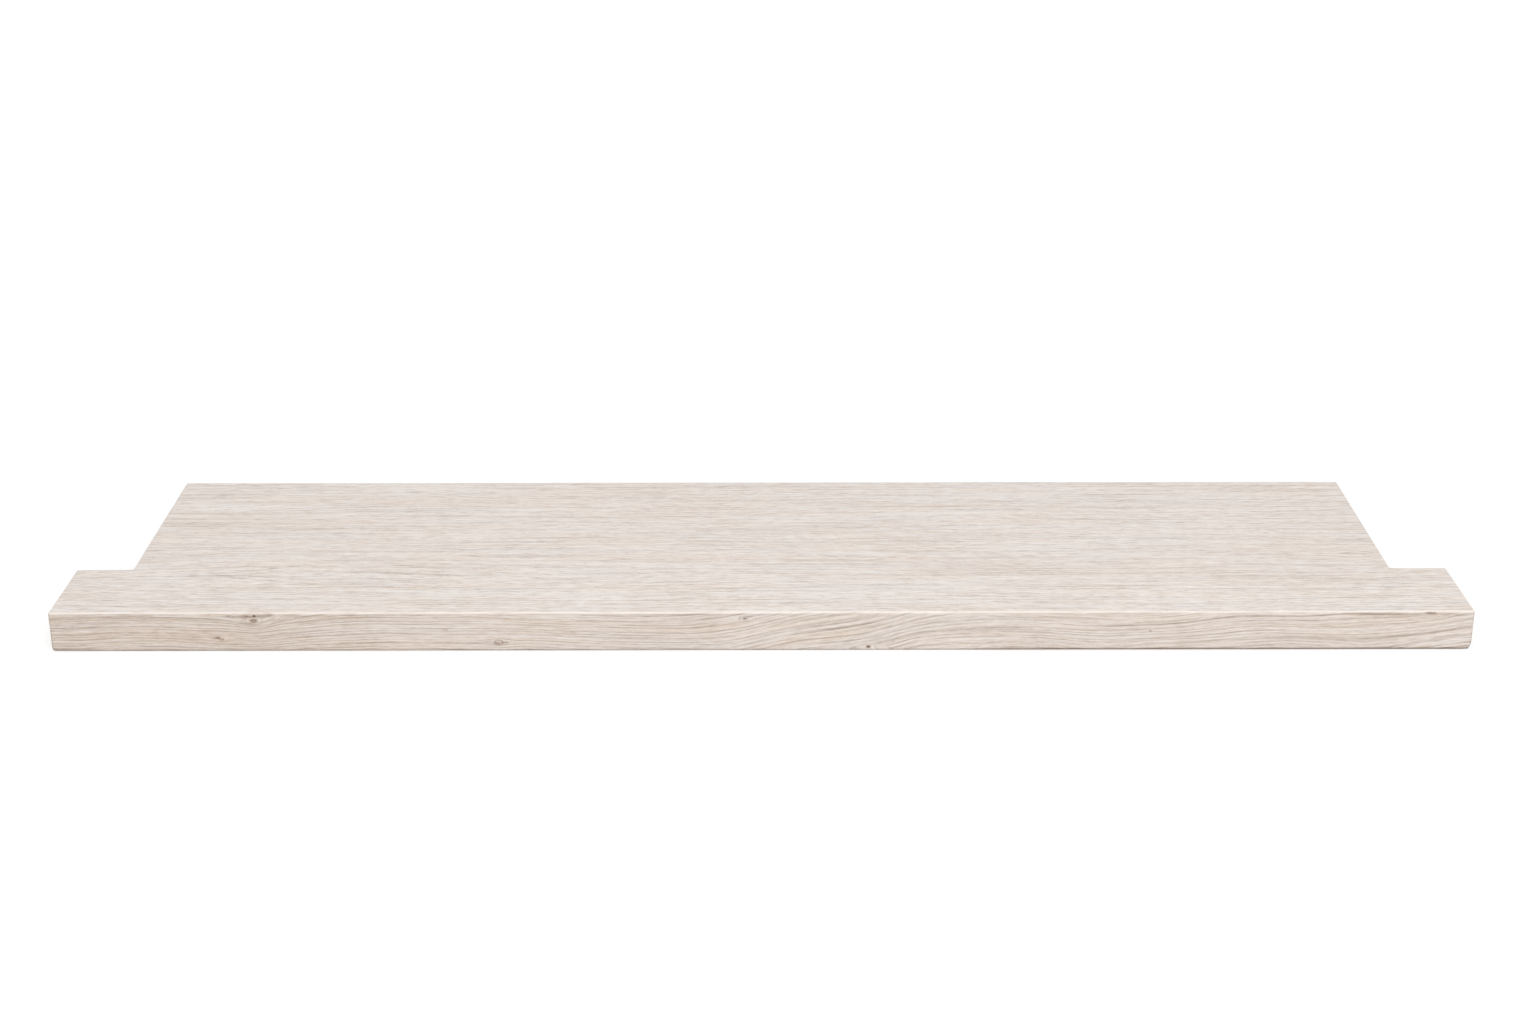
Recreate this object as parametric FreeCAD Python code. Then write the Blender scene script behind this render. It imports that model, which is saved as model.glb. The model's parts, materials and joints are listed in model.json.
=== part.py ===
"""Window sill board with a notched ear at each end, sawn from one piece of oak.

The board lies flat. +X runs along its length, +Y from the front face towards the window, and +Z is up.
The origin is the middle of the underside. All sizes are in millimetres.
"""

import os

import FreeCAD
import Part

# Overall board, with its ears
BOARD_LENGTH = 1000.0
BOARD_DEPTH = 250.0
BOARD_THICKNESS = 30.0

# Ears: what reaches past the wall opening at each end, in front of the wall
EAR_LENGTH = 41.0
EAR_DEPTH = 77.0

# Easing of every outer edge, and the inside corner that the saw leaves in each notch
ARRIS_RADIUS = 1.8
NOTCH_RADIUS = 1.5

# Largest share of a wall that a rounding may take from one side
ROUNDING_SHARE = 0.45

# Two points closer than this are the same corner
SAME_POINT = 1e-4

# Where the faces lie
END_X = BOARD_LENGTH / 2
SHOULDER_X = END_X - EAR_LENGTH
FRONT_Y = -BOARD_DEPTH / 2
REAR_Y = BOARD_DEPTH / 2
EAR_BACK_Y = FRONT_Y + EAR_DEPTH


def outline():
    """The board's eight corners seen from above, anticlockwise from the front left."""
    return [
        (-END_X, FRONT_Y),
        (END_X, FRONT_Y),
        (END_X, EAR_BACK_Y),
        (SHOULDER_X, EAR_BACK_Y),
        (SHOULDER_X, REAR_Y),
        (-SHOULDER_X, REAR_Y),
        (-SHOULDER_X, EAR_BACK_Y),
        (-END_X, EAR_BACK_Y),
    ]


def notch_corners():
    """The two inside corners, where an ear's back face meets the body's side."""
    return [(-SHOULDER_X, EAR_BACK_Y), (SHOULDER_X, EAR_BACK_Y)]


def sawn_blank():
    """The notched blank with square edges, standing on z = 0."""
    corners = [FreeCAD.Vector(x, y, 0) for x, y in outline()]
    rim = Part.makePolygon(corners + corners[:1])
    return Part.Face(rim).extrude(FreeCAD.Vector(0, 0, BOARD_THICKNESS))


def upright_edges(blank, corners):
    """The blank's edges that stand along Z on the given corners."""
    stands = []
    for edge in blank.Edges:
        feet = [vertex.Point for vertex in edge.Vertexes]
        for x, y in corners:
            if all(abs(foot.x - x) < SAME_POINT and abs(foot.y - y) < SAME_POINT for foot in feet):
                stands.append(edge)
    return stands


def rim_edges(blank):
    """The edges round the top face and round the underside."""
    levels = (0.0, BOARD_THICKNESS)
    rims = []
    for edge in blank.Edges:
        box = edge.BoundBox
        if any(abs(box.ZMin - z) < SAME_POINT and abs(box.ZMax - z) < SAME_POINT for z in levels):
            rims.append(edge)
    return rims


def round_notches(blank):
    """The blank with its two inside corners rounded."""
    notch_depth = BOARD_DEPTH - EAR_DEPTH
    radius = min(NOTCH_RADIUS, ROUNDING_SHARE * min(EAR_LENGTH, notch_depth))
    return blank.makeFillet(radius, upright_edges(blank, notch_corners()))


def ease_edges(blank):
    """The blank with every outer arris eased: both rims and the six upright outer corners."""
    outer_corners = [corner for corner in outline() if corner not in notch_corners()]
    radius = min(ARRIS_RADIUS, ROUNDING_SHARE * min(BOARD_THICKNESS, EAR_LENGTH, EAR_DEPTH))
    return blank.makeFillet(radius, rim_edges(blank) + upright_edges(blank, outer_corners))


def sill_board():
    """The finished board as one solid."""
    return ease_edges(round_notches(sawn_blank()))


def main():
    os.makedirs("parts", exist_ok=True)
    board = sill_board()
    board.exportStep("parts/sill_board.step")
    box = board.BoundBox
    print("sill_board", round(box.XLength, 3), round(box.YLength, 3), round(box.ZLength, 3))
    print("volume in cubic metres", board.Volume * 1e-9, "valid", board.isValid())
    print("solids", len(board.Solids), "faces", len(board.Faces))


main()
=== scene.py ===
import json
import math
from collections import namedtuple
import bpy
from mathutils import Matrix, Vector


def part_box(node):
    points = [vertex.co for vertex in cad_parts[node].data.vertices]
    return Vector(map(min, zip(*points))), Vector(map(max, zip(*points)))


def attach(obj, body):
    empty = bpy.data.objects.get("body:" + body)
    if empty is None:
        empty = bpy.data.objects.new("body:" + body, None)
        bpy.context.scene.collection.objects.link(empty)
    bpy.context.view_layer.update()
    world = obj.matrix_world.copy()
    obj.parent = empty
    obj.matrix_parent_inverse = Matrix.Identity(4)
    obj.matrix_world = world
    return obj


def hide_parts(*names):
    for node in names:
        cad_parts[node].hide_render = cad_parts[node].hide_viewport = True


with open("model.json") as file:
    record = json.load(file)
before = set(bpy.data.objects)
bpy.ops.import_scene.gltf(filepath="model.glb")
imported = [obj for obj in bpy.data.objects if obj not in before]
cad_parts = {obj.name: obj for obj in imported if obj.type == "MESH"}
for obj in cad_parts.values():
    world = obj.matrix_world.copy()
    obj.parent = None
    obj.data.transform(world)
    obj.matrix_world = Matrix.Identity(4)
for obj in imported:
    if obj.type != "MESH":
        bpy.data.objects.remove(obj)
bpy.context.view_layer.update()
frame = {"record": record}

from types import SimpleNamespace

import bmesh
import bpy
from mathutils import Matrix, Vector, noise

# The looks of the window sill board: one limed oak board on a white studio floor.
# Lengths are in metres, and in millimetres where a name or a comment says so.
MM = 0.001

# The board's place, as packed
LOW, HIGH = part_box("sill_board")
MOUNTS = {mount["name"]: mount["pos_m"] for mount in frame["record"]["mounts"]}
END_X = HIGH.x
FRONT_Y = LOW.y
REAR_Y = HIGH.y
THICKNESS = HIGH.z
SHOULDER_X = MOUNTS["right_reveal_side"][0]
EAR_BACK_Y = MOUNTS["right_ear_back"][1]

# Easing of the outer edges and of the two inside corners, with the facets round each
ARRIS = 1.8 * MM
NOTCH_ROUND = 1.5 * MM
ARRIS_FACETS = 6
NOTCH_FACETS = 5
# The profile of a bevel that follows a circle
ROUND = 0.5

# The axes by their place in a point: along the board, from front to rear, and up
X_AXIS = 0
Y_AXIS = 1
Z_AXIS = 2
# Mesh steps: along the board, across its top, across its underside, up its front and up its other edges
ALONG_STEP = 3.0 * MM
TOP_STEP = 1.6 * MM
UNDER_STEP = 15.0 * MM
FRONT_STEP = 0.9 * MM
EDGE_STEP = 4.0 * MM
# Points closer than this count as one, and ends of lines as the same place
SAME = 1e-6
SAME_END = 1e-5

# The studio camera: where it stands, how far it looks down and to the right, and its lens
CAMERA_PLACE = (0.0011, -1.6322, 0.7174)
CAMERA_DOWN = math.radians(22.097)
CAMERA_RIGHT = math.radians(0.1235)
CAMERA_ROLL = math.radians(-0.034)
SENSOR_WIDTH = 36.0
FOCAL_PIXELS = 2364.4
PICTURE_WIDTH = 1536.0
CLIP_NEAR = 0.05
CLIP_FAR = 60.0

# The softboxes, both aimed at the middle of the board: name, place, width and height, watts
SOFTBOXES = (
    ("overhead_softbox", (0.0, -0.95, 2.0), (2.4, 1.6), 11.0),
    ("front_softbox", (0.75, -2.6, 1.0), (2.4, 1.2), 22.5),
)
# The white room's light on the board. 1 is as bright as the white that the camera sees
ROOM_LIGHT = 0.78

# The floor: half its width, its squares each way, and its grey
FLOOR_HALF = 14.0
FLOOR_SQUARES = 8
FLOOR_GREY = (0.62, 0.62, 0.62, 1.0)
# The glow that makes the floor look white. It is weaker close to the board, so that the shadow there stays.
# Its strength near the board, what it gains farther off, and where and over how far it gains that
GLOW_NEAR = 0.45
GLOW_GAIN = 0.25
GLOW_PLACE = 1.2
GLOW_SPREAD = 0.5

# The slant of the growth rings: how far a step to the rear, and a step up, goes across them
SLANT_Y = 0.41
SLANT_Z = 0.912
# Ring spacing in millimetres across the rings
RING = 2.7
# Left of this x the front's rings are tighter, by this share, about the middle of the front's height.
# The change takes some length
TIGHT_X = -60.0
TIGHT_SPREAD = 50.0
TIGHTER = 0.24
MIDDLE_Z = 15.0
# The tree's pith as the ends show it, y and z in millimetres: the rings there are arcs about it
PITH = (-135.0, -286.0)
# About how far the ends lie from the pith, in millimetres
PITH_DISTANCE = 330.0
# Uneven spacing of the rings: turn for each millimetre of depth, start, and share of a ring
RING_DRIFT = (
    (0.9, 0.5, 0.16),
    (0.31, 2.0, 0.13),
)
# Slow waves of the grain: turn for each millimetre along the board, turn for each one across it, start,
# and height in millimetres
FRONT_WAVES = (
    (0.071, 0.12, 0.0, 0.35),
    (0.023, 0.0, 1.3, 0.6),
)
FACE_WAVES = (
    (0.017, 0.031, 0.0, 0.6),
    (0.041, -0.052, 0.8, 0.2),
)
# How much of the front's climbs shows on the rear edge
REAR_FLOW = 0.2

# The height of the top face in millimetres, as the climbs below take it
CLIMB_HEIGHT = 30.0
# Where the grain of the front face climbs, left to right in millimetres:
# middle of the climb, half length, climb at the underside, climb at the top face
CLIMBS = (
    (-465, 25, 4.0, 2.0),
    (-390, 25, -3.0, -5.0),
    (-328, 26, 5.0, 9.0),
    (-122, 36, -4.5, -4.5),
    (6, 34, 16.5, 19.0),
    (94, 26, 13.5, 17.5),
    (222, 30, -5.5, -5.0),
    (302, 50, 6.5, 9.5),
    (412, 16, -2.5, 1.0),
    (470, 30, 6.0, 5.0),
)

# Knots that the front's grain flows round: x, z, reach along, and how far the grain keeps from the knot,
# in millimetres
PUSHES = (
    (-355.5, 26.0, 17.0, 6.4),
    (-382.2, 10.2, 9.0, 1.9),
    (-185.0, 6.6, 11.0, 2.4),
    (-12.5, 24.9, 8.0, 1.7),
    (74.8, 1.5, 15.0, 2.7),
    (468, 28.0, 9.0, 1.2),
)
# Keeps the push finite at the very middle of a knot, in square millimetres
PUSH_CORE = 0.01
# Right of this x the front shows finer growth lines, by this factor, and how far the change is spread
FINE_X = 190.0
FINER = 1.55
FINE_SPREAD = 260.0

# Spots of the front's knots: x, z, half length, half height, in millimetres, and how strong the spot is
DARK_SPOTS = (
    (-355.6, 27.2, 1.3, 0.9, 0.90),
    (-360.8, 27.0, 1.0, 0.6, 0.30),
    (74.9, 2.7, 1.2, 0.7, 0.45),
)
BROWN_SPOTS = (
    (-356.2, 23.7, 3.0, 1.6, 0.80),
    (-358.5, 26.6, 3.6, 0.9, 0.30),
    (-382.4, 10.3, 2.0, 1.0, 0.85),
    (-380.0, 9.2, 1.7, 0.6, 0.50),
    (-12.0, 24.9, 1.8, 0.9, 0.75),
    (-8.8, 26.2, 2.4, 0.5, 0.50),
    (74.9, 3.0, 1.8, 1.2, 0.80),
    (272.9, 15.0, 1.2, 0.6, 0.60),
    (-222.0, 16.4, 2.0, 0.5, 0.45),
    (468.8, 28.4, 4.2, 0.9, 0.65),
    (-180.4, 6.9, 2.3, 0.6, 0.55),
    (-185.6, 6.4, 1.5, 0.7, 0.55),
)
# Knots with a pit in the wood: the dark spots and the first brown ones
PITTED_BROWNS = 7
KNOT_PITS = DARK_SPOTS + BROWN_SPOTS[:PITTED_BROWNS]
# Where the mesh is finer round a pit: how far past the spot, to its sides and above and below it, in
# millimetres, how far behind the front plane, and the cuts in each edge
PIT_BESIDE = 3.0
PIT_ABOVE = 1.5
PIT_BEHIND = 0.3 * MM
PIT_CUTS = 2
# Darker rings of grain round a knot: x, z, half length, half height, darkness, fineness of the line
KNOT_RINGS = (
    (-185.2, 6.8, 2.7, 1.6, 0.90, 3.0),
    (-356.0, 25.0, 6.2, 3.9, 0.21, 5.0),
    (-353.0, 24.0, 10.5, 6.8, 0.12, 6.0),
    (-382.0, 10.0, 3.4, 2.0, 0.20, 4.0),
    (-12.0, 24.9, 3.2, 1.8, 0.20, 4.0),
)

# Pale and dark strokes of the top face: from x and y, to x and y, half width, strength
PALE_STROKES = (
    (-470, -61, -225, -92, 2.4, 0.60),
    (-420, -60, -325, -31, 2.2, 0.60),
    (-410, -74, -300, -84, 1.8, 0.40),
    (-380, -6, -290, -2, 1.8, 0.45),
    (-490, -104, -180, -104, 20.0, 0.22),
    (-150, -100, 190, -100, 22.0, 0.52),
    (210, -98, 490, -98, 24.0, 0.45),
    (0, 20, 95, 27, 0.9, 0.55),
    (52, 70, 92, 71, 0.8, 0.45),
    (50, -75, 90, -73, 1.0, 0.45),
    (-70, -8, -20, -6, 0.9, 0.40),
)
DARK_STROKES = (
    (-398, -58, -344, -44, 0.9, 0.50),
    (-392, -60, -332, -53, 0.8, 0.32),
    (-400, -61, -348, -63, 0.8, 0.42),
    (-392, -62, -332, -74, 0.9, 0.45),
    (165, 82.0, 312, 81.5, 1.1, 0.30),
    (258, 96.5, 316, 96.2, 1.1, 0.32),
    (355, 107.0, 448, 106.6, 1.1, 0.27),
    (398, 85.6, 448, 83.0, 1.1, 0.25),
    (320, 73.2, 378, 73.0, 1.1, 0.20),
)

# How far the strokes take to fade, at their start and at their end, in millimetres
STROKE_FADES = (12.0, 16.0)
# How far the bold and the straight lines take
BOLD_FADE = 9.0
STRAIGHT_FADE = 12.0

# Single bold lines of the front's grain: a point on the line (x, z), from x, to x, half width, darkness
BOLD_LINES = (
    (-425, 26.6, -505, -352, 0.55, 1.0),
    (95, 17.1, 78, 236, 0.45, 0.5),
    (113, 12.6, 84, 200, 0.4, 0.5),
    (73.5, 25.0, -8, 92, 0.4, 0.5),
    (73.5, 21.0, 30, 150, 0.4, 0.4),
    (40, 9.5, -30, 70, 0.4, 0.45),
    (309.5, 23.0, 232, 372, 0.5, 0.60),
    (356, 9.2, 288, 440, 0.45, 0.40),
    (473, 14.2, 428, 505, 0.5, 0.6),
    (-183, 21.0, -230, -95, 0.4, 0.45),
    (-345, 21.0, -358, -322, 0.45, 0.60),
    (-345, 18.0, -362, -310, 0.45, 0.45),
)

# Straight dark lines along the front's arrises: from x, to x, height, half width, darkness. The two at the
# foot, below 1 mm high, are painted shadow where the board meets the floor
STRAIGHT_LINES_AND_FOOT_SHADOW = (
    (-510, 150, 0.5, 0.8, 0.40),
    (150, 510, 0.7, 1.1, 0.95),
    (414, 452, 27.6, 0.75, 1.0),
    (452, 486, 27.6, 0.5, 0.35),
    (-110, 20, 27.8, 0.5, 0.30),
    (-345, -300, 27.3, 0.7, 0.25),
)

# Flame of the top face, where the grain opens to the right: x of its tip, y of its middle, reach across,
# length of its rise, x where it closes again, length of its close, and its push, in millimetres
FLAME = (-404.0, -61.0, 30.0, 34.0, -150.0, 80.0, 7.0)
# Small swirls of the top face: x, y, reach along, reach across, push
SWIRLS = (
    (381, 18, 13.0, 9.0, 3.0),
    (435, -23, 12.0, 8.0, 3.0),
    (-96, 64, 14.0, 8.0, 2.2),
    (182, 92, 16.0, 8.0, 2.0),
)

# Colours, as linear red, green and blue
LIMED = (0.800, 0.738, 0.692, 1.0)
OAK = (0.758, 0.640, 0.548, 1.0)
LIME_WHITE = (0.900, 0.866, 0.835, 1.0)
LIME_GREY = (0.772, 0.720, 0.700, 1.0)
CREAM_OF_LIME_AND_HIGHLIGHT = (0.890, 0.825, 0.765, 1.0)
GRAIN_AND_SHADE_DARK = (0.285, 0.205, 0.155, 1.0)
KNOT_DARK = (0.085, 0.055, 0.035, 1.0)
KNOT_BROWN = (0.270, 0.178, 0.120, 1.0)
END_OAK = (0.690, 0.600, 0.520, 1.0)

# The lacquer: its roughness on closed and on open grain, how dark open grain is, and its shine
CLOSED_ROUGH = 0.58
OPEN_ROUGH = 0.80
OPEN_DARK = 0.8
LACQUER_IOR = 1.45
LACQUER_SHINE = 0.4
# Brushed grain too fine for the mesh: strength of the bump, its depth, its height where nothing is dark, and
# how much deeper the dark knots are
BUMP_STRENGTH = 0.5
BUMP_DEPTH = 0.1 * MM
BUMP_TOP = 0.6
BUMP_KNOTS = 2.0

# Noise patterns of the oak. A cell is a patch of the noise: its three sizes are in millimetres.
# shift is where the pattern starts, in cells. rise is where a pattern begins to show and where it is full
Pattern = namedtuple(
    "Pattern",
    "cell detail roughness shift rise",
    defaults=(2.0, 0.5, (0.0, 0.0, 0.0), (0.0, 1.0)),
)

# Sizes along the board, across the rings and through the sheet of wood
STRANDS = Pattern((200.0, 1.1, 1.0), detail=1.0, shift=(0.0, 5.0, 4.0))
RING_JITTER = Pattern((45.0, 3.0, 9.0), shift=(0.0, 21.0, 0.0))
RING_FADE = Pattern((60.0, 2.4, 14.0), detail=3.0, roughness=0.6, rise=(0.32, 0.56))
FIBRE = Pattern((15.0, 0.58, 4.0), detail=3.0, roughness=0.8)
LONG_LINES = Pattern((150.0, 0.70, 20.0), shift=(7.0, 0.0, 0.0), rise=(0.50, 0.64))
BANDS = Pattern((90.0, 2.6, 20.0), detail=3.0, roughness=0.6, shift=(0.0, 3.0, 0.0))
ZONES = Pattern((170.0, 6.0, 40.0), shift=(0.0, 11.0, 0.0), rise=(0.35, 0.65))
CHALK = Pattern((70.0, 3.2, 16.0), shift=(31.0, 0.0, 0.0), rise=(0.50, 0.66))
BREAKS = Pattern((18.0, 2.0, 1.0), shift=(0.0, 0.0, 3.0), rise=(0.25, 0.55))
# The fibre's dark dashes and its white streaks: where they begin to show and where they are full
DASH_RISE = (0.50, 0.62)
STREAK_RISE = (0.49, 0.36)
# Sizes along x, y and z
PATCHY_LIME_AND_HIGHLIGHT = Pattern((24.0, 24.0, 5.0), detail=3.0, rise=(0.30, 0.55))
RING_WANDER = Pattern((40.0, 14.0, 14.0), detail=1.0)
END_PORES = Pattern((0.8, 0.45, 0.45), rise=(0.50, 0.66))
# Sizes along x, round the pith and away from it
END_RAYS = Pattern((40.0, 0.7, 7.0), rise=(0.54, 0.66))
# Sizes along x and z
KNOT_RAG = Pattern((1.6, 0.9, 1.0), shift=(0.0, 0.0, 2.0))

# Dashes, long lines and strays are this many times shorter than their cells, on the faces and on the edges
FACE_PACE = 1.25
EDGE_PACE = 1.4
# How far the growth lines stray across the rings, in millimetres, on the faces and edges and on the ends
JITTER = 1.3
WANDER = 2.0
# Sharpness of the growth lines, on the faces and edges and on the ends
RING_SHARP = 3.0
END_SHARP = 2.0

# How dark each pattern makes the grain of the faces and of the edges
FACE_GRAIN = {"dashes": 0.27, "long_lines": 0.22, "rings": 0.07}
EDGE_GRAIN = {"dashes": 0.25, "rings": 0.37, "long_lines": 0.20}
# The edges are darker and warmer left of this x, and the change takes some length: what the grain gains,
# what the tone gains, and what the warmth gains there. This darker, warmer end is painted shade, for the
# light that falls off to the left
LEFT_X = -300.0
LEFT_SPREAD = 70.0
LEFT_GRAIN = 0.2
LEFT_PAINTED_SHADE = 0.03
LEFT_WARM = 0.35
# Darkness of the ends: rings, what pores add to a ring, and pores
END_RINGS = 0.20
END_RING_PORES = 0.45
END_PORE_DARK = 0.10
# Darkness of the front's bold lines, and the painted shade of its two upright corners, where their rounding
# turns away from the light
BOLD_DARK = 0.45
CORNER_PAINTED_SHADE = 0.22
# What is left of the bold lines and of the rings round knots where the grain breaks, and what the upper
# straight lines lose there
BREAK_LEAST = 0.4
STRAIGHT_BREAK = 0.55
# How far the bands bend the dark and the pale strokes, in millimetres, and what is left of the strokes
# between the fibres
DARK_BEND = 2.4
PALE_BEND = 6.0
DARK_LEAST = 0.5
PALE_LEAST = 0.3

# Warmth of the wood: what its zones and its bands give, and what the edges and ends gain besides their bands
ZONE_WARM = 0.45
BAND_WARM = 0.8
EDGE_WARM = -0.25
# How far white streaks, chalky patches, the ends, their rays and white arrises change the colour, and how
# much of the grain the white arrises hide. The white of the upper arrises is partly lime and partly painted
# highlight
STREAK_WHITE = 0.50
CHALK_GREY = 0.50
END_TONE = 0.85
RAY_PALE = 0.45
ARRIS_LIME_AND_HIGHLIGHT = 0.5
ARRIS_HIDES = 0.8
# Lime and painted highlight left where an arris is worn most
LEAST_LIME_AND_HIGHLIGHT = 0.45
# How ragged the knots are, how far their rings follow that, and where a spot begins and where it is full
RAGGED = 0.9
RING_RAG = 0.7
SPOT_RISE = (1.35, 0.55)

# A surface faces an axis if its normal leans less than 45 degrees from it
MOSTLY = 0.7071
# Surfaces that lean more than this to the rear take the rear edge's grain
REARWARD = 0.2
# An arris begins to show where a normal leans a little from its axis, and shows fully where it leans more
ARRIS_RISE = (0.985, 0.86)
# The same for the upright corners, by how far the normal leans both ways
CORNER_RISE = (0.15, 0.45)
# Heights, in millimetres, between which the lime and the painted highlight of the arrises set in
UPPER_RISE = (10.0, 20.0)
# How far behind the front plane the front's knots and lines reach, in millimetres
FRONT_BAND = 2.0


class Wire:
    """A number on a shader link, which adds and multiplies as a plain number does."""

    def __init__(self, socket):
        self.socket = socket

    def join(self, operation, *others):
        node = self.socket.id_data.nodes.new("ShaderNodeMath")
        node.operation = operation
        for place, value in enumerate((self, *others)):
            feed(node.inputs[place], value)
        return Wire(node.outputs[0])

    def __add__(self, other):
        return self.join("ADD", other)

    __radd__ = __add__

    def __mul__(self, other):
        return self.join("MULTIPLY", other)

    def __sub__(self, other):
        return self.join("SUBTRACT", other)

    def __rsub__(self, other):
        return self.join("MULTIPLY_ADD", -1.0, other)

    def __truediv__(self, other):
        return self.join("DIVIDE", other)


def feed(socket, value):
    """Links a wire to the socket, or sets the socket to a plain value."""
    if isinstance(value, Wire):
        socket.id_data.links.new(value.socket, socket)
    else:
        socket.default_value = value


def sine(value):
    """The sine of a wire or of a plain number."""
    return value.join("SINE") if isinstance(value, Wire) else math.sin(value)


def swell(value):
    """From 0 to 1 as value passes from about -2 to 2."""
    bent = value.join("TANH") if isinstance(value, Wire) else math.tanh(value)
    return bent * 0.5 + 0.5


def bell(value):
    """1 at the middle, nearly 0 from 2 on, to either side."""
    fall = value * value * -1.0
    return fall.join("EXPONENT") if isinstance(value, Wire) else math.exp(fall)


def power(wire, exponent):
    """The wire's number, raised to the exponent."""
    return wire.join("POWER", exponent)


def root(value):
    """Square root, and 0 where there is none."""
    if isinstance(value, Wire):
        return value.join("MAXIMUM", 0.0).join("SQRT")
    return math.sqrt(max(value, 0.0))


def at_least(value, least):
    """The value, squeezed so that 0 becomes least and 1 stays 1."""
    return value * (1.0 - least) + least


def waves(along, across, table):
    """The sum of the table's slow waves, in millimetres."""
    total = 0.0
    for turn_along, turn_across, start, height in table:
        total = total + sine(along * turn_along + across * turn_across + start) * height
    return total


def front_climb(x, z):
    """How far the grain of the front face has climbed at x, at the height z."""
    total = 0.0
    for middle, half, low, high in CLIMBS:
        total = total + swell((x - middle) / half) * (z * ((high - low) / CLIMB_HEIGHT) + low)
    return total


def front_push(x, z):
    """How far the knots push the front's grain up or down. It flows round them, as water round a stone."""
    total = 0.0
    for knot_x, knot_z, reach, radius in PUSHES:
        keeps_off = bell((x - knot_x) / reach) * radius
        up = z - knot_z
        nearness = keeps_off * keeps_off / (up * up + PUSH_CORE)
        total = total + up * (1.0 - root(1.0 - nearness))
    return total


def edge_depth(x, y, z, flow=1.0):
    """Depth across the growth rings on the edges, in millimetres. flow is how much of the climb shows."""
    climb = front_climb(x, z) + front_push(x, z) + waves(x, z, FRONT_WAVES)
    tighter = (z - MIDDLE_Z) * swell((TIGHT_X - x) / TIGHT_SPREAD) * TIGHTER
    return (z + tighter - climb * flow) * SLANT_Z + y * SLANT_Y


def face_depth(x, y, z):
    """Depth across the growth rings on the top face, the underside and the ends, in millimetres."""
    tip_x, middle_y, reach, rise, end_x, close, push = FLAME
    across = (y - middle_y) / reach
    flame = across * bell(across) * swell((x - tip_x) / rise) * swell((end_x - x) / close) * push
    total = y * SLANT_Y + z * SLANT_Z - flame
    for swirl_x, swirl_y, reach_x, reach_y, push in SWIRLS:
        across = (y - swirl_y) / reach_y
        total = total - across * bell(across) * bell((x - swirl_x) / reach_x) * push
    return total + waves(x, y, FACE_WAVES)


def ring_crest(depth):
    """1 on a growth line, 0 halfway between two. The spacing is uneven, as in a tree."""
    turns = depth / RING
    for turn, start, share in RING_DRIFT:
        turns = turns + sine(depth * turn + start) * share
    return sine(turns * math.tau) * 0.5 + 0.5


# Camera
def set_camera():
    camera = bpy.data.cameras.new("studio_camera")
    camera.sensor_width = SENSOR_WIDTH
    camera.lens = FOCAL_PIXELS / PICTURE_WIDTH * SENSOR_WIDTH
    camera.clip_start = CLIP_NEAR
    camera.clip_end = CLIP_FAR
    holder = bpy.data.objects.new("studio_camera", camera)
    aside = Matrix.Rotation(-CAMERA_RIGHT, 4, "Z")
    tilt = Matrix.Rotation(math.pi / 2 - CAMERA_DOWN, 4, "X")
    roll = Matrix.Rotation(CAMERA_ROLL, 4, "Z")
    holder.matrix_world = Matrix.Translation(CAMERA_PLACE) @ aside @ tilt @ roll
    bpy.context.collection.objects.link(holder)
    bpy.context.scene.camera = holder


# Lamps
def hang_softbox(name, place, size, watts):
    lamp = bpy.data.lights.new(name, "AREA")
    lamp.shape = "RECTANGLE"
    lamp.size, lamp.size_y = size
    lamp.energy = watts
    holder = bpy.data.objects.new(name, lamp)
    facing = (Vector() - Vector(place)).to_track_quat("-Z", "Y")
    holder.matrix_world = Matrix.Translation(place) @ facing.to_matrix().to_4x4()
    bpy.context.collection.objects.link(holder)


def seen_white(tree):
    """1 for rays that see the studio, straight or in a shine or through glass, and 0 for its light."""
    path = tree.nodes.new("ShaderNodeLightPath")
    camera = Wire(path.outputs["Is Camera Ray"])
    shine = Wire(path.outputs["Is Glossy Ray"])
    through = Wire(path.outputs["Is Transmission Ray"])
    return (camera + shine + through).join("MINIMUM", 1.0)


def set_world():
    world = bpy.data.worlds.new("studio_white")
    bpy.context.scene.world = world
    world.use_nodes = True
    tree = world.node_tree
    back = tree.nodes["Background"]
    back.inputs["Color"].default_value = (1.0, 1.0, 1.0, 1.0)
    feed(back.inputs["Strength"], at_least(seen_white(tree), ROOM_LIGHT))


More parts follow.
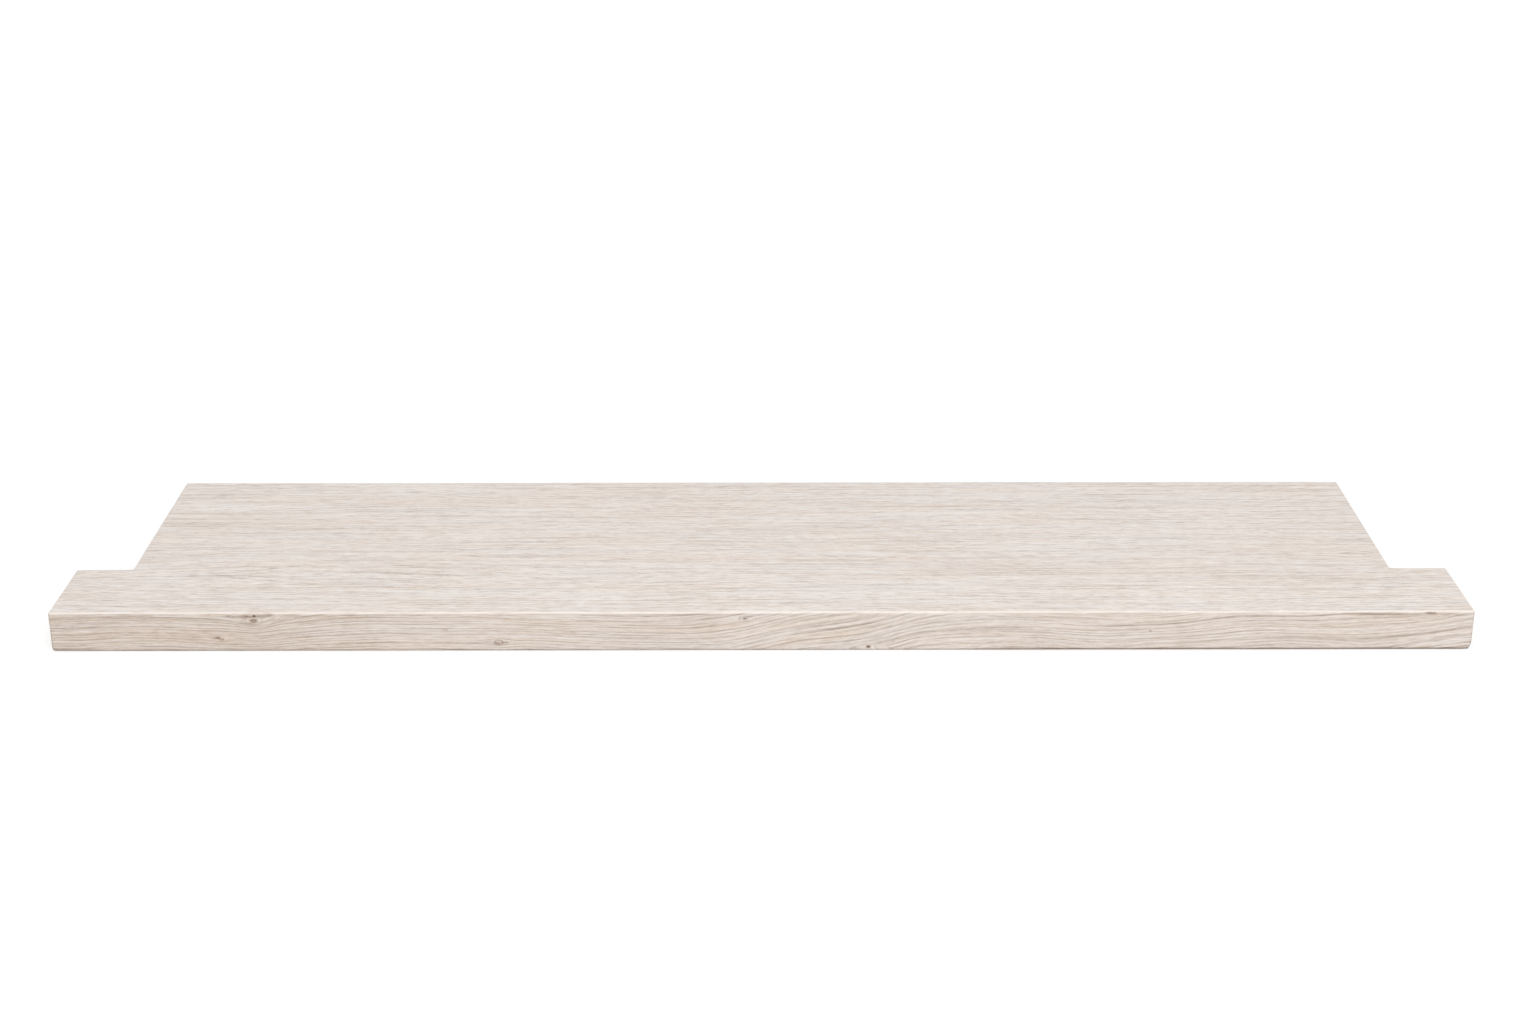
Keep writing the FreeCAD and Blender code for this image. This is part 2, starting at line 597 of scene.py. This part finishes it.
def lay_floor():
    """The white floor. It looks white on its own, and still takes the board's soft shadow."""
    bm = bmesh.new()
    bmesh.ops.create_grid(bm, x_segments=FLOOR_SQUARES, y_segments=FLOOR_SQUARES, size=FLOOR_HALF)
    mesh = bpy.data.meshes.new("studio_floor")
    bm.to_mesh(mesh)
    bm.free()
    floor = bpy.data.objects.new("studio_floor", mesh)
    bpy.context.collection.objects.link(floor)
    paint = bpy.data.materials.new("studio_floor_white")
    paint.use_nodes = True
    tree = paint.node_tree
    tree.nodes.clear()
    matt = tree.nodes.new("ShaderNodeBsdfDiffuse")
    matt.inputs["Color"].default_value = FLOOR_GREY
    glow = tree.nodes.new("ShaderNodeEmission")
    place = tree.nodes.new("ShaderNodeTexCoord").outputs["Object"]
    far = tree.nodes.new("ShaderNodeVectorMath")
    far.operation = "LENGTH"
    tree.links.new(place, far.inputs[0])
    distance = Wire(far.outputs["Value"])
    glow_strength = swell((distance - GLOW_PLACE) / GLOW_SPREAD) * GLOW_GAIN + GLOW_NEAR
    feed(glow.inputs["Strength"], seen_white(tree) * glow_strength)
    both = tree.nodes.new("ShaderNodeAddShader")
    out = tree.nodes.new("ShaderNodeOutputMaterial")
    tree.links.new(matt.outputs[0], both.inputs[0])
    tree.links.new(glow.outputs[0], both.inputs[1])
    tree.links.new(both.outputs[0], out.inputs["Surface"])
    mesh.materials.append(paint)


# The places of the sockets in a mix node, where several share a name
MIX_AMOUNT = 0
MIX_FIRST = 6
MIX_SECOND = 7
MIX_RESULT = 2


# Limed oak
class OakNodes:
    """Small helpers that add nodes to the oak material."""

    def __init__(self, tree):
        self.tree = tree

    def new(self, kind):
        return self.tree.nodes.new(kind)

    def vector(self, x, y, z):
        node = self.new("ShaderNodeCombineXYZ")
        for place, value in enumerate((x, y, z)):
            feed(node.inputs[place], value)
        return Wire(node.outputs[0])

    def split(self, socket):
        node = self.new("ShaderNodeSeparateXYZ")
        self.tree.links.new(socket, node.inputs[0])
        return [Wire(out) for out in node.outputs]

    def fibres(self, x, y, z, detail, roughness):
        """Smooth noise from 0 to 1. The first three numbers are distances in noise cells."""
        node = self.new("ShaderNodeTexNoise")
        feed(node.inputs["Vector"], self.vector(x, y, z))
        node.inputs["Scale"].default_value = 1.0
        node.inputs["Detail"].default_value = detail
        node.inputs["Roughness"].default_value = roughness
        return Wire(node.outputs["Fac"])

    def pattern(self, kind, first, second, third=0.0):
        """The noise of a pattern from 0 to 1, at three distances in millimetres."""
        cells = []
        for value, size, start in zip((first, second, third), kind.cell, kind.shift):
            cell = value / size
            cells.append(cell + start if start else cell)
        return self.fibres(*cells, kind.detail, kind.roughness)

    def risen(self, kind, *distances):
        """How far a pattern shows, from 0 to 1, at three distances in millimetres."""
        return self.ramp(self.pattern(kind, *distances), *kind.rise)

    def ramp(self, value, start, end, low=0.0, high=1.0):
        """Smoothly from low to high as the value goes from start to end."""
        node = self.new("ShaderNodeMapRange")
        node.interpolation_type = "SMOOTHSTEP"
        feed(node.inputs["Value"], value)
        node.inputs["From Min"].default_value = start
        node.inputs["From Max"].default_value = end
        node.inputs["To Min"].default_value = low
        node.inputs["To Max"].default_value = high
        return Wire(node.outputs["Result"])

    def tint(self, amount, first, second):
        """The first colour where the amount is 0, the second where it is 1."""
        node = self.new("ShaderNodeMix")
        node.data_type = "RGBA"
        feed(node.inputs[MIX_AMOUNT], amount)
        feed(node.inputs[MIX_FIRST], first)
        feed(node.inputs[MIX_SECOND], second)
        return Wire(node.outputs[MIX_RESULT])


def bold_lines(x, depth):
    """The single bold lines of the front's grain."""
    total = 0.0
    for at_x, at_z, start, end, half, dark in BOLD_LINES:
        line_depth = edge_depth(at_x, FRONT_Y / MM, at_z)
        line = bell((depth - line_depth) / half) * dark
        within = swell((x - start) / BOLD_FADE) * swell((end - x) / BOLD_FADE)
        total = total + line * within
    return total


def straight_lines_and_foot_shadow(x, z):
    """The straight dark lines along the front's arrises, the two at the foot being painted shadow where the
    board meets the floor.
    """
    total = 0.0
    for start, end, height, half, dark in STRAIGHT_LINES_AND_FOOT_SHADOW:
        within = swell((x - start) / STRAIGHT_FADE) * swell((end - x) / STRAIGHT_FADE)
        total = total + bell((z - height) / half) * within * dark
    return total


def far_from(x, z, spot):
    """0 at the middle of a spot, 1 at its edge."""
    spot_x, spot_z, half_x, half_z = spot[:4]
    return (power((x - spot_x) / half_x, 2.0) + power((z - spot_z) / half_z, 2.0)).join("SQRT")


def end_grain(oak, at):
    """The ends: how dark their rings and pores are, and how pale the rays that cross the rings."""
    beside = at.y - PITH[0]
    above = at.z - PITH[1]
    from_pith = (power(beside, 2.0) + power(above, 2.0)).join("SQRT")
    around = beside.join("ARCTAN2", above) * PITH_DISTANCE
    wander = (oak.pattern(RING_WANDER, at.x, at.y, at.z) - 0.5) * WANDER
    rings = power(ring_crest(from_pith + wander), END_SHARP)
    pores = oak.risen(END_PORES, at.x, at.y, at.z)
    rays = oak.risen(END_RAYS, at.x, around, from_pith)
    return rings * (pores * END_RING_PORES + END_RINGS) + pores * END_PORE_DARK, rays


def knot_rings(x, z, rag):
    """Darker rings of grain round the knots."""
    total = 0.0
    for ring in KNOT_RINGS:
        dark, fineness = ring[4:]
        away = far_from(x, z, ring) + rag * RING_RAG - 1.0
        total = bell(away * fineness) * dark + total
    return total


def knot_spots(oak, x, z, rag, spots):
    """How strong the knots' spots are, with a ragged outline."""
    total = 0.0
    for spot in spots:
        total = oak.ramp(far_from(x, z, spot) + rag, *SPOT_RISE) * spot[4] + total
    return total.join("MINIMUM", 1.0)


def strokes(x, y, bend, lines):
    """Soft slanting strokes on the top face. bend moves them aside, so that they aren't straight."""
    start_fade, end_fade = STROKE_FADES
    total = 0.0
    for start_x, start_y, end_x, end_y, half, strength in lines:
        slope = (end_y - start_y) / (end_x - start_x)
        across = y - (x - start_x) * slope - start_y + bend
        within = swell((x - start_x) / start_fade) * swell((end_x - x) / end_fade)
        total = total + bell(across / half) * within * strength
    return total


def read_place(oak):
    """Where a point lies on the board, in millimetres, and which way its surface faces, from 0 to 1."""
    place = oak.new("ShaderNodeTexCoord").outputs["Object"]
    x, y, z = (part * (1.0 / MM) for part in oak.split(place))
    facing = oak.split(oak.new("ShaderNodeNewGeometry").outputs["Normal"])
    toward_x, toward_y, toward_z = (part.join("ABSOLUTE") for part in facing)
    flattest = toward_x.join("MAXIMUM", toward_y).join("MAXIMUM", toward_z)
    return SimpleNamespace(
        x=x,
        y=y,
        z=z,
        on_end=toward_x.join("GREATER_THAN", MOSTLY),
        on_edge=toward_y.join("GREATER_THAN", MOSTLY),
        on_face=toward_z.join("GREATER_THAN", MOSTLY),
        on_top=facing[2].join("GREATER_THAN", MOSTLY),
        on_rear=facing[1].join("GREATER_THAN", REARWARD),
        on_arris=oak.ramp(flattest, *ARRIS_RISE),
        on_corner=oak.ramp(toward_x * toward_y, *CORNER_RISE),
        at_front=y.join("LESS_THAN", FRONT_Y / MM + FRONT_BAND),
        at_left=swell((x - LEFT_X) / -LEFT_SPREAD),
        upper=oak.ramp(z, *UPPER_RISE),
    )


def read_grain(oak, at):
    """The patterns of the grain. They all follow the depth across the growth rings."""
    flow = at.on_rear * (REAR_FLOW - 1.0) + 1.0
    front_depth = edge_depth(at.x, at.y, at.z, flow)
    broad_depth = face_depth(at.x, at.y, at.z)
    strand = oak.pattern(STRANDS, at.x, front_depth) - 0.5
    finer = (at.x + strand * FINE_SPREAD).join("GREATER_THAN", FINE_X) * (FINER - 1.0) + 1.0
    depth = broad_depth + at.on_edge * (front_depth * finer - broad_depth)
    sheet = at.y * SLANT_Z - at.z * SLANT_Y
    along = at.x * (at.on_edge * (EDGE_PACE - FACE_PACE) + FACE_PACE)
    jitter = (oak.pattern(RING_JITTER, along, depth, sheet) - 0.5) * JITTER
    rings = power(ring_crest(depth + jitter), RING_SHARP)
    fibre = oak.pattern(FIBRE, along, depth, sheet)
    return SimpleNamespace(
        front_depth=front_depth,
        rings=rings * oak.risen(RING_FADE, along, depth, sheet),
        dashes=oak.ramp(fibre, *DASH_RISE),
        streaks=oak.ramp(fibre, *STREAK_RISE),
        long_lines=oak.risen(LONG_LINES, along, depth, sheet),
        bands=oak.pattern(BANDS, at.x, depth, sheet),
        zones=oak.risen(ZONES, at.x, depth, sheet),
        chalky=oak.risen(CHALK, at.x, depth, sheet),
        broken=oak.risen(BREAKS, at.x, depth),
    )


def read_knots(oak, at, grain):
    """How brown and how dark the knots make the front."""
    rag = (oak.pattern(KNOT_RAG, at.x, at.z) - 0.5) * RAGGED
    rings = knot_rings(at.x, at.z, rag) * at_least(grain.broken, BREAK_LEAST)
    brown = (knot_spots(oak, at.x, at.z, rag, BROWN_SPOTS) + rings).join("MINIMUM", 1.0)
    dark = knot_spots(oak, at.x, at.z, rag, DARK_SPOTS)
    return brown * at.at_front, dark * at.at_front


def pattern_darkness(grain, strengths):
    """How dark the patterns of the grain are together."""
    total = 0.0
    for name, strength in strengths.items():
        total = total + getattr(grain, name) * strength
    return total


def grain_and_shade_darkness(at, grain, end_dark, lime_and_highlight):
    """How dark the grain is, with its bold lines, straight lines and dark strokes, and the painted shade at
    the foot, the upright corners and the left of the edges.
    """
    face_dark = pattern_darkness(grain, FACE_GRAIN)
    # Left of LEFT_X the edges get painted shade, for the light falling off to the left
    edge_dark = pattern_darkness(grain, EDGE_GRAIN) * (at.at_left * LEFT_GRAIN + 1.0) + at.at_left * LEFT_PAINTED_SHADE
    bold = bold_lines(at.x, grain.front_depth) * at.on_edge * at.at_front
    edge_dark = edge_dark + bold * at_least(grain.broken, BREAK_LEAST) * BOLD_DARK
    side_dark = edge_dark + at.on_end * (end_dark - edge_dark)
    dark = side_dark + at.on_face * (face_dark - side_dark)
    dark = dark * (1.0 - lime_and_highlight * ARRIS_HIDES)
    unbroken = 1.0 - at.upper * (1.0 - grain.broken) * STRAIGHT_BREAK
    # Straight dark lines of the front, with the painted shadow along its foot
    dark = dark + straight_lines_and_foot_shadow(at.x, at.z) * at.at_front * unbroken
    # Painted shade down the two upright front corners
    dark = dark + at.on_corner * at.at_front * CORNER_PAINTED_SHADE
    bend = (grain.bands - 0.5) * DARK_BEND
    return dark + strokes(at.x, at.y, bend, DARK_STROKES) * at.on_top * at_least(grain.dashes, DARK_LEAST)


def liming_and_arris_highlight(oak, at, grain, rays, lime_and_highlight):
    """The colour of the wood without its dark grain: warm zones, streaks, chalky patches, and white arrises
    that are partly lime and partly painted highlight.
    """
    # The extra warmth on the left of the edges is part of that painted shade
    edge_warm = at.at_left * LEFT_WARM + grain.bands + EDGE_WARM
    warm = grain.zones * ZONE_WARM + (grain.bands - 0.5) * BAND_WARM + (1.0 - at.on_face) * edge_warm
    body = oak.tint(warm.join("MAXIMUM", 0.0).join("MINIMUM", 1.0), LIMED, OAK)
    body = oak.tint(grain.streaks * STREAK_WHITE, body, LIME_WHITE)
    body = oak.tint(grain.chalky * at.on_face * CHALK_GREY, body, LIME_GREY)
    end_colour = oak.tint(rays * RAY_PALE, END_OAK, CREAM_OF_LIME_AND_HIGHLIGHT)
    body = oak.tint(at.on_end * END_TONE, body, end_colour)
    body = oak.tint(lime_and_highlight * ARRIS_LIME_AND_HIGHLIGHT, body, CREAM_OF_LIME_AND_HIGHLIGHT)
    bend = (grain.bands - 0.5) * PALE_BEND
    pale = strokes(at.x, at.y, bend, PALE_STROKES) * at.on_top * at_least(grain.streaks, PALE_LEAST)
    return oak.tint(pale, body, LIME_WHITE)


def limed_oak():
    """Brushed oak, limed white, with a matt lacquer."""
    paint = bpy.data.materials.new("limed_oak")
    paint.use_nodes = True
    tree = paint.node_tree
    oak = OakNodes(tree)
    surface = tree.nodes["Principled BSDF"]
    at = read_place(oak)
    grain = read_grain(oak, at)
    end_dark, rays = end_grain(oak, at)
    # The upper arrises are whiter: partly lime, partly a painted highlight where they turn toward the lamps
    arris_lime_highlight_left = at_least(oak.risen(PATCHY_LIME_AND_HIGHLIGHT, at.x, at.y, at.z), LEAST_LIME_AND_HIGHLIGHT)
    lime_and_highlight = at.on_arris * at.upper * arris_lime_highlight_left
    dark = grain_and_shade_darkness(at, grain, end_dark, lime_and_highlight)
    knot_brown, knot_dark = read_knots(oak, at, grain)

    body = liming_and_arris_highlight(oak, at, grain, rays, lime_and_highlight)
    # Dark grain, and the painted shade and shadow that share its colour
    body = oak.tint(dark.join("MINIMUM", 1.0), body, GRAIN_AND_SHADE_DARK)
    body = oak.tint(knot_brown, body, KNOT_BROWN)
    body = oak.tint(knot_dark, body, KNOT_DARK)
    feed(surface.inputs["Base Color"], body)

    # Matt lacquer, duller in the open grain
    rough = oak.ramp(dark + knot_dark, 0.0, OPEN_DARK, CLOSED_ROUGH, OPEN_ROUGH)
    feed(surface.inputs["Roughness"], rough)
    surface.inputs["IOR"].default_value = LACQUER_IOR
    surface.inputs["Specular IOR Level"].default_value = LACQUER_SHINE

    # Brushed grain: open lines a little below the surface
    bump = oak.new("ShaderNodeBump")
    bump.inputs["Strength"].default_value = BUMP_STRENGTH
    bump.inputs["Distance"].default_value = BUMP_DEPTH
    feed(bump.inputs["Height"], BUMP_TOP - dark - knot_dark * BUMP_KNOTS)
    tree.links.new(bump.outputs[0], surface.inputs["Normal"])
    return paint


# The board
def board_corners():
    """The outline of the board, from its front left corner to the right and round."""
    return [
        (-END_X, FRONT_Y),
        (END_X, FRONT_Y),
        (END_X, EAR_BACK_Y),
        (SHOULDER_X, EAR_BACK_Y),
        (SHOULDER_X, REAR_Y),
        (-SHOULDER_X, REAR_Y),
        (-SHOULDER_X, EAR_BACK_Y),
        (-END_X, EAR_BACK_Y),
    ]


def spans(edge, axis, start=None, end=None):
    """Whether the edge runs straight along the axis, between start and end if they are given."""
    first, second = (vert.co for vert in edge.verts)
    others = [other for other in range(3) if other != axis]
    if any(abs(first[other] - second[other]) > SAME for other in others):
        return False
    low, high = sorted((first[axis], second[axis]))
    if high - low < SAME:
        return False
    if start is None:
        return True
    return abs(low - start) < SAME_END and abs(high - end) < SAME_END


def round_edges(bm, edges, radius, facets):
    return bmesh.ops.bevel(
        bm,
        geom=edges,
        offset=radius,
        offset_type="OFFSET",
        segments=facets,
        profile=ROUND,
        affect="EDGES",
        clamp_overlap=False,
        material=-1,
    )


def cut_through(bm, axis, place):
    """Cuts the faces along the plane that crosses the axis at the place."""
    normal = [0.0, 0.0, 0.0]
    normal[axis] = 1.0
    point = [0.0, 0.0, 0.0]
    point[axis] = place
    geom = list(bm.verts) + list(bm.edges) + list(bm.faces)
    bmesh.ops.bisect_plane(bm, geom=geom, dist=SAME, plane_co=point, plane_no=normal)


def divide(bm, axis, start, end, step, keep=lambda edge: True):
    """Divides the edges that run from start to end along the axis into steps."""
    cuts = max(0, math.ceil((end - start) / step) - 1)
    edges = [edge for edge in bm.edges if spans(edge, axis, start, end) and keep(edge)]
    if cuts and edges:
        bmesh.ops.subdivide_edges(bm, edges=edges, cuts=cuts, use_grid_fill=True)


def is_on_underside(edge):
    return all(vert.co.z < SAME for vert in edge.verts)


def is_at_front(edge):
    return all(vert.co.y < FRONT_Y + ARRIS + SAME for vert in edge.verts)


def shape_board():
    """The eased board with its rows and columns of faces, before its relief."""
    bm = bmesh.new()
    corners = [bm.verts.new((x, y, 0.0)) for x, y in board_corners()]
    blank = bm.faces.new(corners)
    risen = bmesh.ops.extrude_face_region(bm, geom=[blank], use_keep_orig=True)
    tops = [item for item in risen["geom"] if isinstance(item, bmesh.types.BMVert)]
    bmesh.ops.translate(bm, verts=tops, vec=(0.0, 0.0, THICKNESS))
    bmesh.ops.recalc_face_normals(bm, faces=bm.faces[:])
    inside = [edge for edge in bm.edges if spans(edge, Z_AXIS) and not edge.is_convex]
    round_edges(bm, inside, NOTCH_ROUND, NOTCH_FACETS)
    outer_x = END_X - SAME
    rims = []
    for edge in bm.edges:
        level = [vert.co.z for vert in edge.verts]
        if max(level) < SAME or min(level) > THICKNESS - SAME:
            rims.append(edge)
        elif spans(edge, Z_AXIS):
            here = edge.verts[0].co
            at_end = abs(here.x) > outer_x
            at_rear = here.y > REAR_Y - SAME
            if at_end or at_rear:
                rims.append(edge)
    round_edges(bm, rims, ARRIS, ARRIS_FACETS)
    bmesh.ops.remove_doubles(bm, verts=bm.verts[:], dist=SAME)

    # Cuts in line with the roundings, then even rows and columns between them
    end_line = END_X - ARRIS
    side_line = SHOULDER_X - ARRIS
    notch_line = SHOULDER_X + NOTCH_ROUND
    front_line = FRONT_Y + ARRIS
    ear_line = EAR_BACK_Y - ARRIS
    body_line = EAR_BACK_Y + NOTCH_ROUND
    rear_line = REAR_Y - ARRIS
    for place in (end_line, notch_line, side_line):
        cut_through(bm, X_AXIS, place)
        cut_through(bm, X_AXIS, -place)
    for place in (front_line, ear_line, body_line, rear_line):
        cut_through(bm, Y_AXIS, place)
    for place in (ARRIS, THICKNESS - ARRIS):
        cut_through(bm, Z_AXIS, place)
    divide(bm, X_AXIS, -side_line, side_line, ALONG_STEP)
    divide(bm, X_AXIS, notch_line, end_line, ALONG_STEP)
    divide(bm, X_AXIS, -end_line, -notch_line, ALONG_STEP)
    for start, end in ((front_line, ear_line), (body_line, rear_line)):
        divide(bm, Y_AXIS, start, end, TOP_STEP, lambda edge: not is_on_underside(edge))
        divide(bm, Y_AXIS, start, end, UNDER_STEP, is_on_underside)
    divide(bm, Z_AXIS, ARRIS, THICKNESS - ARRIS, FRONT_STEP, is_at_front)
    divide(bm, Z_AXIS, ARRIS, THICKNESS - ARRIS, EDGE_STEP, lambda edge: not is_at_front(edge))
    refine_knots(bm)
    return bm


def refine_knots(bm):
    """Smaller faces where a knot is pitted."""
    near = set()
    for edge in bm.edges:
        middle = (edge.verts[0].co + edge.verts[1].co) / 2
        if middle.y > FRONT_Y + PIT_BEHIND:
            continue
        for spot_x, spot_z, half_x, half_z, _ in KNOT_PITS:
            along = (middle.x / MM - spot_x) / (half_x + PIT_BESIDE)
            up = (middle.z / MM - spot_z) / (half_z + PIT_ABOVE)
            if along * along + up * up < 1.0:
                near.add(edge)
    bmesh.ops.subdivide_edges(bm, edges=list(near), cuts=PIT_CUTS, use_grid_fill=True)


# Relief depths in millimetres: brushed grain on the edges and on the faces, knots, and wear of the arrises
EDGE_RELIEF = 0.05
FACE_RELIEF = 0.02
KNOT_RELIEF = 0.45
ARRIS_WEAR = 0.22
# A pit is this much wider than its spot
PIT_WIDTH = 1.5
# A normal this near to an axis is on a flat face, and one that leans as far as FLAT_LEAST is on an arris
FLAT_MOST = 0.98
FLAT_LEAST = 0.86
# Patches of the arrises' wear, along x, y and z, in millimetres
WEAR_PATCH = (17.0, 17.0, 6.0)
# The underside keeps its place
DOWNWARD = -0.99
# The wear of the knocked corners ends this far from the ends and from the underside, in millimetres
CORNER_SPAN = 12.0
# Knocked front corners at the underside: x of the corner, how far it reaches, how deep it is worn
WORN_CORNERS = (
    (-500.0, 2.4, 0.5),
    (500.0, 3.0, 1.4),
)


def relief(place, facing):
    """How far the surface lies below the planed one, in millimetres."""
    x, y, z = place / MM
    flattest = max(abs(part) for part in facing)
    flat = min(1.0, max(0.0, (flattest - FLAT_LEAST) / (FLAT_MOST - FLAT_LEAST)))
    below = 0.0
    if abs(facing.y) > MOSTLY:
        flow = REAR_FLOW if facing.y > 0 else 1.0
        below += EDGE_RELIEF * flat * ring_crest(edge_depth(x, y, z, flow))
    elif facing.z > MOSTLY:
        below += FACE_RELIEF * flat * ring_crest(face_depth(x, y, z))
    patch = Vector([part / size for part, size in zip((x, y, z), WEAR_PATCH)])
    worn = noise.noise(patch) * 0.5 + 0.5
    below += ARRIS_WEAR * (1.0 - flat) * worn * worn
    if abs(x) > END_X / MM - CORNER_SPAN and z < CORNER_SPAN:
        for corner_x, reach, wear in WORN_CORNERS:
            below += wear * bell(math.dist((x, y, z), (corner_x, FRONT_Y / MM, 0.0)) / reach)
    if y < FRONT_Y / MM + FRONT_BAND:
        for spot_x, spot_z, half_x, half_z, strength in KNOT_PITS:
            far = math.hypot((x - spot_x) / half_x, (z - spot_z) / half_z) / PIT_WIDTH
            if far < 1.0:
                below += KNOT_RELIEF * strength * (0.5 + 0.5 * math.cos(far * math.pi))
    return below


def brush_board(bm):
    """Brushes the grain, pits the knots and wears the arrises, always inwards."""
    bm.normal_update()
    moves = []
    for vert in bm.verts:
        if vert.normal.z < DOWNWARD:
            continue
        moves.append((vert, vert.normal * (relief(vert.co, vert.normal) * MM)))
    for vert, move in moves:
        vert.co -= move
    bm.normal_update()


def make_board():
    """The finished board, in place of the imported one."""
    bm = shape_board()
    brush_board(bm)
    for face in bm.faces:
        face.smooth = True
    mesh = bpy.data.meshes.new("sill_board_limed")
    bm.to_mesh(mesh)
    bm.free()
    board = bpy.data.objects.new("sill_board_limed", mesh)
    bpy.context.collection.objects.link(board)
    mesh.materials.append(limed_oak())
    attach(board, "root")
    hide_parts("sill_board")
    triangles = sum(len(polygon.vertices) - 2 for polygon in mesh.polygons)
    print("sill_board_limed has", len(mesh.polygons), "faces,", triangles, "triangles")


set_camera()
set_world()
lay_floor()
for softbox in SOFTBOXES:
    hang_softbox(*softbox)
make_board()

bpy.context.scene.view_settings.view_transform = "Standard"
